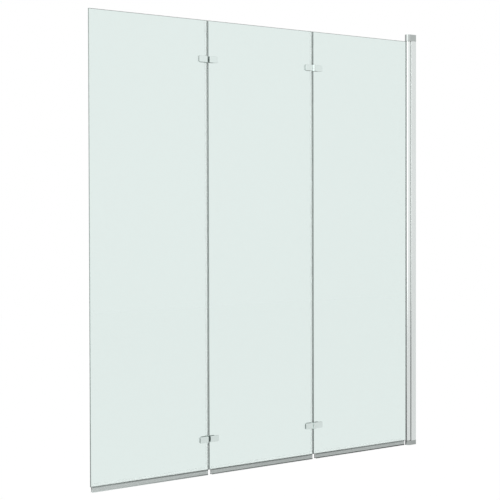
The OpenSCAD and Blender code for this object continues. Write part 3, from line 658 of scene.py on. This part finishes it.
# The same vinyl where it is folded on itself, in the web under the glass, painted smoky and darker as
# painted shade. It is lighter towards both ends of the screen.
web_vinyl_painted_shade, tree, skin, at = new_finish("clear_vinyl_web_painted_shade")
# painted shade: the web is coloured dark grey
_, web_shade_tone = mottled(tree, at, (0.02, 0.6, 0.6), 4.0, "#8d9693", "#9ea7a4")
lighter_free_end = greyed(tree, at, web_shade_tone, "X", -1300.0, -1000.0, 0.7)
tree.links.new(greyed(tree, at, lighter_free_end, "X", 0.0, -400.0, 0.7), skin["Base Color"])
skin["Roughness"].default_value = 0.18
skin["IOR"].default_value = 1.50
skin["Alpha"].default_value = 0.85

# The soft vinyl of the wiper lips, rubbed dull, with painted shade in its colour: it stays pale at the free
# edge, greys quickly over the outer panel, and then slowly on to the wall.
lip_vinyl_painted_shade, tree, skin, at = new_finish("soft_vinyl_lips_painted_shade")
_, rubbed = mottled(tree, at, (0.02, 0.6, 0.6), 4.0, "#a6adab", "#b3bab8")
# painted shade: the lips grey past the free edge and darken further towards the wall
edge_grey = greyed(tree, at, rubbed, "X", -1300.0, -900.0, 0.32)
tree.links.new(greyed(tree, at, edge_grey, "X", -900.0, 0.0, 0.2), skin["Base Color"])
skin["Roughness"].default_value = 0.4
skin["IOR"].default_value = 1.50
skin["Specular IOR Level"].default_value = 0.3
skin["Alpha"].default_value = 0.95

# The very edge of the same lips, rubbed down to a film that lets most of the light through.
lip_edge_vinyl, tree, skin, at = new_finish("worn_thin_vinyl_lip_edge")
_, thinned = mottled(tree, at, (0.02, 0.6, 0.6), 4.0, "#a8b1ae", "#bac2c0")
tree.links.new(thinned, skin["Base Color"])
skin["Roughness"].default_value = 0.4
skin["IOR"].default_value = 1.50
skin["Alpha"].default_value = 0.25

# Milky soft vinyl of the tube: plasticised, so it is hazy grey, satin, and lets some light through.
# It is greyest under the middle panel.
milky_vinyl, tree, skin, at = new_finish("milky_soft_vinyl")
pull, haze = mottled(tree, at, (0.02, 0.5, 0.5), 5.0, "#b8bfbd", "#cbd1cf", roughness=0.6)
greyer_towards_middle = greyed(tree, at, haze, "X", -1300.0, -500.0, 0.8)
tree.links.new(greyed(tree, at, greyer_towards_middle, "X", -250.0, -600.0, 0.88), skin["Base Color"])
skin["Roughness"].default_value = 0.30
skin["IOR"].default_value = 1.50
skin["Transmission Weight"].default_value = 0.25
faint = add_node(tree, "Bump", {"Height": pull, "Strength": 0.12, "Distance": 0.0002})
tree.links.new(faint.outputs[0], skin["Normal"])

# The same vinyl on the cut ends of the strips, painted pale there as painted light, and dull.
vinyl_ends_painted_light, tree, skin, at = new_finish("vinyl_ends_painted_pale")
# painted light: the cut ends are coloured paler than the strip
_, pale_end_tone = mottled(tree, at, (1.2, 1.2, 1.2), 4.0, "#d3d9d7", "#e6eae9")
tree.links.new(pale_end_tone, skin["Base Color"])
skin["Roughness"].default_value = 0.6
skin["IOR"].default_value = 1.50

# heights, by the foot of the glass, and above the foot of the lips
pane_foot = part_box("glass_panel_1")[0].z * 1000
web_top, web_foot = pane_foot + 0.3, pane_foot - 2.8
tube_top, tube_foot = pane_foot - 1.1, pane_foot - 9.5
lip_root = pane_foot - 10.6
lip_grey_h, lip_film_h = 4.0, 0.9

# widths, from the middle of the glass
seal_half, tube_half = 3.6, 2.5
lip_splay, lip_taper, lip_middle = 1.05, 0.65, 4.15
leg_slot = glass_half + 0.03


def seal_finish(middle, normal):
    """The finish of a bottom seal's face, by its height, and painted pale, as painted light, where the strip
    is sawn off.
    """
    if middle.z < low.z + lip_film_h:
        return lip_edge_vinyl
    if middle.z < web_top and abs(normal.x) > 0.9:
        return vinyl_ends_painted_light
    if middle.z < low.z + lip_grey_h:
        return lip_vinyl_painted_shade
    if middle.z < web_foot:
        return milky_vinyl
    return web_vinyl_painted_shade if middle.z < web_top else clear_vinyl


for number, body in panels:
    low, high = (corner * 1000 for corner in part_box(f"bottom_seal_{number}"))
    left, right = low.x - past, high.x + past
    strip = add_block(
        f"bottom_seal_strip_{number}", (low.x, -seal_half, lip_root), (high.x, seal_half, high.z)
    )
    slot_low = (left, -leg_slot, pane_foot - 0.03)
    cut_away(strip, add_block("pane_slot", slot_low, (right, leg_slot, high.z + past)))
    cut_away(strip, add_block("tube", (left, -tube_half, tube_foot), (right, tube_half, tube_top)))
    for side in (-1, 1):
        near, far = sorted((side * tube_half, side * seal_half))
        lip = add_block("lip", (low.x, near, low.z), (high.x, far, lip_root + 0.4))
        pick(lip, "FACE", lambda m, n: n.z < -0.9)
        bpy.ops.transform.translate(value=(0, side * lip_splay / 1000, 0))
        foot_middle = (0, side * lip_middle / 1000, low.z / 1000)
        bpy.ops.transform.resize(value=(1, lip_taper, 1), center_override=foot_middle)
        leave()
        round_edges(lip, 0.25, 3, lambda m, d: m.z < low.z + 0.1 and abs(d.x) > 0.9)
        join_solids(strip, lip)
    round_edges(strip, 0.5, 4, lambda m, d: m.z > high.z - 0.1 and abs(d.x) > 0.9)
    pick(strip, "FACE", lambda m, n: True)
    for level in (web_top, web_foot, low.z + lip_grey_h, low.z + lip_film_h):
        bpy.ops.mesh.select_all(action="SELECT")
        bpy.ops.mesh.bisect(plane_co=(0, 0, level / 1000), plane_no=(0, 0, 1))
    leave()
    dress(strip)
    finishes = (milky_vinyl, clear_vinyl, web_vinyl_painted_shade, lip_vinyl_painted_shade, vinyl_ends_painted_light, lip_edge_vinyl)
    finish_faces(strip, finishes, seal_finish)
    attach(strip, body)
    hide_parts(f"bottom_seal_{number}")


# ---- Joint seals ----
# Upright strips clipped on the right edge of the outer and the middle pane. A soft hollow bulb fills
# the gap to the next pane, and the strip is cut away round each hinge.


def join_loose(pieces, name):
    """Joins pieces that don't touch into one with the given name."""
    clear_selection()
    for piece in pieces:
        piece.select_set(True)
    first = pieces[0]
    bpy.context.view_layer.objects.active = first
    bpy.ops.object.join()
    first.name = first.data.name = name
    return first


# The soft bulb of the joint seals: one thin clear wall behind another, so it only dims what is
# behind it.
bulb_vinyl, tree, skin, at = new_finish("thin_soft_vinyl_bulb")
_, dimmed = mottled(tree, at, (0.6, 0.6, 0.02), 4.0, "#8d9995", "#a2adaa")
tree.links.new(dimmed, skin["Base Color"])
skin["Roughness"].default_value = 0.2
skin["IOR"].default_value = 1.50
skin["Alpha"].default_value = 0.35

leg_l, web_t = 8.0, 0.9
bulb_r, bulb_t, bulb_out = 1.65, 0.5, 2.45
hinge_room = 11.0  # half the length that is cut away at a hinge
foot_room = 9.3  # the height over the glass's foot that is left to the bottom seal

for number, body in panels[:2]:
    low, high = (corner * 1000 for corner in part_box(f"joint_seal_{number}"))
    edge_x = low.x + leg_l
    bulb_x = edge_x + bulb_out
    lower, upper = hinge_z
    stretches = []
    for z0, z1 in (
        (low.z, lower - hinge_room),
        (lower + hinge_room, upper - hinge_room),
        (upper + hinge_room, high.z),
    ):
        stretch = add_block("stretch", (low.x, low.y, z0), (edge_x + web_t, high.y, z1))
        slot_low = (low.x - past, -leg_slot, z0 - past)
        cut_away(stretch, add_block("pane_slot", slot_low, (edge_x + 0.03, leg_slot, z1 + past)))
        round_edges(stretch, 0.4, 3, lambda m, d: m.x < low.x + 0.1 and abs(d.z) > 0.9)
        join_solids(stretch, add_rod("bulb", bulb_r, (bulb_x, 0, z0), (bulb_x, 0, z1), 32))
        bore_ends = ((bulb_x, 0, z0 - past), (bulb_x, 0, z1 + past))
        cut_away(stretch, add_rod("bulb_bore", bulb_r - bulb_t, *bore_ends, 24))
        if z0 == low.z:
            foot_high = (edge_x, 6, pane_foot + foot_room)
            cut_away(stretch, add_block("foot_cut", (low.x - past, -6, z0 - past), foot_high))
        stretches.append(stretch)
    whole = join_loose(stretches, f"joint_seal_strip_{number}")
    dress(whole)
    finish_faces(
        whole, (clear_vinyl, bulb_vinyl), lambda m, n: bulb_vinyl if m.x > edge_x + 0.5 else clear_vinyl
    )
    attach(whole, body)
    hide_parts(f"joint_seal_{number}")


# ---- Hinges ----
# Two small chromed brass hinges on each joint, clamped through holes in the glass. The leaf that
# carries the knuckles is on the side the joint folds to, and a plain clamp plate is on the other.

# Polished chrome over brass: a near mirror, faintly blue grey, with the wiping marks and thin
# water film of a bathroom, drawn over 6 mm, in its gloss.
chrome, tree, skin, at = new_finish("polished_chrome_plate")
wiped, shine = mottled(tree, at, (0.16, 0.16, 0.16), 6.0, "#dbe7e4", "#e7f1ee", roughness=0.65)
tree.links.new(shine, skin["Base Color"])
skin["Metallic"].default_value = 1.0
film = add_node(tree, "MapRange", {"Value": wiped, "To Min": 0.05, "To Max": 0.13})
tree.links.new(film.outputs[0], skin["Roughness"])

# The clamp plates are sawn from flat bar. Their ends are a little dull, and painted dark as painted
# shade, with the marks of the saw 0.8 mm apart.
chrome_ends_painted_shade, tree, skin, at = new_finish("chrome_plate_ends_painted_shade")
# painted shade: the cut ends of the plates are coloured dark grey
_, dim = mottled(tree, at, (1.2, 0.05, 1.2), 4.0, "#8b9492", "#9ba4a1")
tree.links.new(dim, skin["Base Color"])
skin["Metallic"].default_value = 1.0
skin["Roughness"].default_value = 0.16

plate_h, plate_corner, plate_rim = 19.0, 2.5, 0.9
front_reach, rear_reach = 35.0, 25.0  # from the middle of the joint to the far end of a plate
leaf_root, clamp_root = 4.7, 3.7  # and to its near end
pad_face, leaf_face, clamp_face = 3.5, 9.0, 7.5  # from the middle of the glass
axis_y = 9.4  # the pins' distance from the middle of the glass
knuckle_r, neck_x, neck_y = 4.197, 6.7, 5.5
mid_knuckle, outer_knuckle = 3.0, 3.6  # half the inner knuckle's height, and where the outer ones start
outer_spans = ((outer_knuckle, plate_h / 2), (-plate_h / 2, -outer_knuckle))
inner_spans = ((-mid_knuckle, mid_knuckle),)
pressed_bore, running_bore = 2.02, 2.06
thread_r, thread_floor = 2.52, 0.8
bolt_sink_r, bolt_sink_tip_r, bolt_sink_depth = 4.95, 2.5, 2.4


def add_plate(name, root, reach, outer, side, face):
    """A plate beside the joint's middle: side is -1 left or 1 right, and face is -1 front or 1 back."""
    x0, x1 = sorted((side * root, side * reach))
    y0, y1 = sorted((face * pad_face, face * outer))
    plate = add_block(name, (x0, y0, -plate_h / 2), (x1, y1, plate_h / 2))
    round_edges(plate, plate_corner, 6, lambda m, d: abs(d.y) > 0.9)
    round_edges(plate, plate_rim, 4, lambda m, d: abs(m.y - face * outer) < 0.01)
    return plate


def add_leaf(name, knuckles, reach, side, face, bore):
    """A leaf: its plate, a neck and a knuckle in each of the given height spans, and the bore for the pin."""
    leaf = add_plate(name, leaf_root, reach, leaf_face, side, face)
    y = face * axis_y
    for z0, z1 in knuckles:
        x0, x1 = sorted((side * neck_x, 0))
        y0, y1 = sorted((face * leaf_face, face * neck_y))
        join_solids(leaf, add_block("neck", (x0, y0, z0), (x1, y1, z1)))
        barrel = add_rod("barrel", knuckle_r, (0, y, z0), (0, y, z1), 62)
        round_edges(barrel, 0.25, 3, lambda m, d: abs(d.z) < 0.1 and min(abs(m.z - z0), abs(m.z - z1)) < 0.01)
        join_solids(leaf, barrel)
    cut_away(leaf, add_rod("pin_bore", bore, (0, y, -plate_h), (0, y, plate_h), 48))
    return leaf


def drill(plate, side, face, outer):
    """The hole of the clamping screw: countersunk at the back, blind and threaded at the front."""
    x = side * bolt_reach
    if face > 0:
        cut_away(plate, add_rod("hole", thread_r, (x, 0, 0), (x, 12, 0), 40))
        rim, tip = (x, outer + 0.02, 0), (x, outer - bolt_sink_depth, 0)
        cut_away(plate, add_rod("countersink", bolt_sink_r, rim, tip, 48, tip_radius=bolt_sink_tip_r))
    else:
        cut_away(plate, add_rod("thread", thread_r, (x, 0, 0), (x, thread_floor - outer, 0), 40))


def copy_to(piece, name, x, z, y=0.0):
    """A copy with its own mesh, moved to its place, in millimetres."""
    twin = piece.copy()
    twin.data = piece.data.copy()
    twin.name = twin.data.name = name
    bpy.context.scene.collection.objects.link(twin)
    make_active(twin)
    twin.location = (x / 1000, y / 1000, z / 1000)
    bpy.ops.object.transform_apply(location=True, rotation=False, scale=False)
    return twin


# each joint, the side it folds to (-1 front, 1 back), and the bodies on its left and right
joints = ((2, -1, "middle_panel", "inner_panel"), (1, 1, "outer_panel", "middle_panel"))
levels = (("lower", hinge_z[0]), ("upper", hinge_z[1]))

for joint, fold, left_body, right_body in joints:
    leaf_reach, clamp_reach = (front_reach, rear_reach) if fold < 0 else (rear_reach, front_reach)
    for word, side, body, spans, bore in (
        ("outer", -1, left_body, outer_spans, pressed_bore),
        ("inner", 1, right_body, inner_spans, running_bore),
    ):
        leaf = add_leaf("leaf_pattern", spans, leaf_reach, side, fold, bore)
        drill(leaf, side, fold, leaf_face)
        dress(leaf)
        leaf.data.materials.append(chrome)
        clamp = add_plate("clamp_pattern", clamp_root, clamp_reach, clamp_face, side, -fold)
        drill(clamp, side, -fold, clamp_face)
        dress(clamp)
        sawn_from = clamp_reach - 0.1
        finish_faces(
            clamp,
            (chrome, chrome_ends_painted_shade),
            lambda m, n: chrome_ends_painted_shade if abs(m.x) > sawn_from and abs(n.x) > 0.9 else chrome,
        )
        for level, z in levels:
            for pattern, kind in ((leaf, "leaf"), (clamp, "clamp")):
                node = f"joint_{joint}_{level}_{word}_{kind}"
                plate = copy_to(pattern, node + "_chromed", joint_x[joint], z)
                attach(plate, body)
                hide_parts(node)
        bpy.data.objects.remove(leaf)
        bpy.data.objects.remove(clamp)


# ---- Hinge pins ----
# Chromed steel pins pressed through the outer knuckles, with low domed heads above and below.

pin_r, pin_half = 2.0, 9.52
pin_head_r, head_top = 3.1, 10.32
pin = add_rod("pin_pattern", pin_r, (0, 0, -pin_half), (0, 0, pin_half), 48)
for end in (-1, 1):
    head = add_rod("head", pin_head_r, (0, 0, end * pin_half), (0, 0, end * head_top), 48)
    round_edges(head, 0.45, 4, lambda m, d: abs(m.z - end * head_top) < 0.01)
    join_solids(pin, head)
dress(pin)
pin.data.materials.append(chrome)
for joint, fold, body, _ in joints:
    for level, z in levels:
        node = f"joint_{joint}_{level}_pin"
        twin = copy_to(pin, node + "_chromed", joint_x[joint], z, fold * axis_y)
        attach(twin, body)
        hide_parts(node)
bpy.data.objects.remove(pin)


# ---- Hinge pads ----
# Soft sheets, 1 mm thick, between each plate and the glass. Clamped tight, their rims bulge a little,
# and they show as a thin dark line round the plates.

# Cut sheet of soft vinyl: smoky grey, matt, with a fine bloom that mottles it over a few
# millimetres. Like a thin gel it lets some of the metal behind show.
pad_sheet, tree, skin, at = new_finish("cut_smoky_soft_vinyl_sheet")
_, dusty = mottled(tree, at, (0.35, 0.35, 0.35), 5.0, "#7c8482", "#909896", roughness=0.6)
tree.links.new(dusty, skin["Base Color"])
skin["Roughness"].default_value = 0.62
skin["Specular IOR Level"].default_value = 0.4
skin["Alpha"].default_value = 0.35

pad_inset = 0.4  # how far a pad stays inside the outline of its plate
pad_half = plate_h / 2 - pad_inset
pad_hole_r = 2.7

for panel, pad_joints, body in (
    (1, ((1, -1),), "outer_panel"),
    (2, ((1, 1), (2, -1)), "middle_panel"),
    (3, ((2, 1),), "inner_panel"),
):
    made = []
    for joint, side in pad_joints:
        fold = -1 if joint == 2 else 1
        for face, root in ((fold, leaf_root), (-fold, clamp_root)):
            reach = front_reach if face < 0 else rear_reach
            x0, x1 = sorted((side * (root + pad_inset), side * (reach - pad_inset)))
            y0, y1 = sorted((face * glass_half, face * pad_face))
            sheet = add_block("pad_pattern", (x0, y0, -pad_half), (x1, y1, pad_half))
            round_edges(sheet, plate_corner - pad_inset, 5, lambda m, d: abs(d.y) > 0.9)
            round_edges(sheet, 0.3, 3, lambda m, d: min(abs(m.y - y0), abs(m.y - y1)) < 0.01)
            x = side * bolt_reach
            cut_away(sheet, add_rod("hole", pad_hole_r, (x, y0 - 1, 0), (x, y1 + 1, 0), 32))
            made += [copy_to(sheet, "pad", joint_x[joint], z) for z in hinge_z]
            bpy.data.objects.remove(sheet)
    pads = join_loose(made, f"panel_{panel}_soft_pads")
    dress(pads)
    pads.data.materials.append(pad_sheet)
    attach(pads, body)
    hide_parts(f"panel_{panel}_pads")
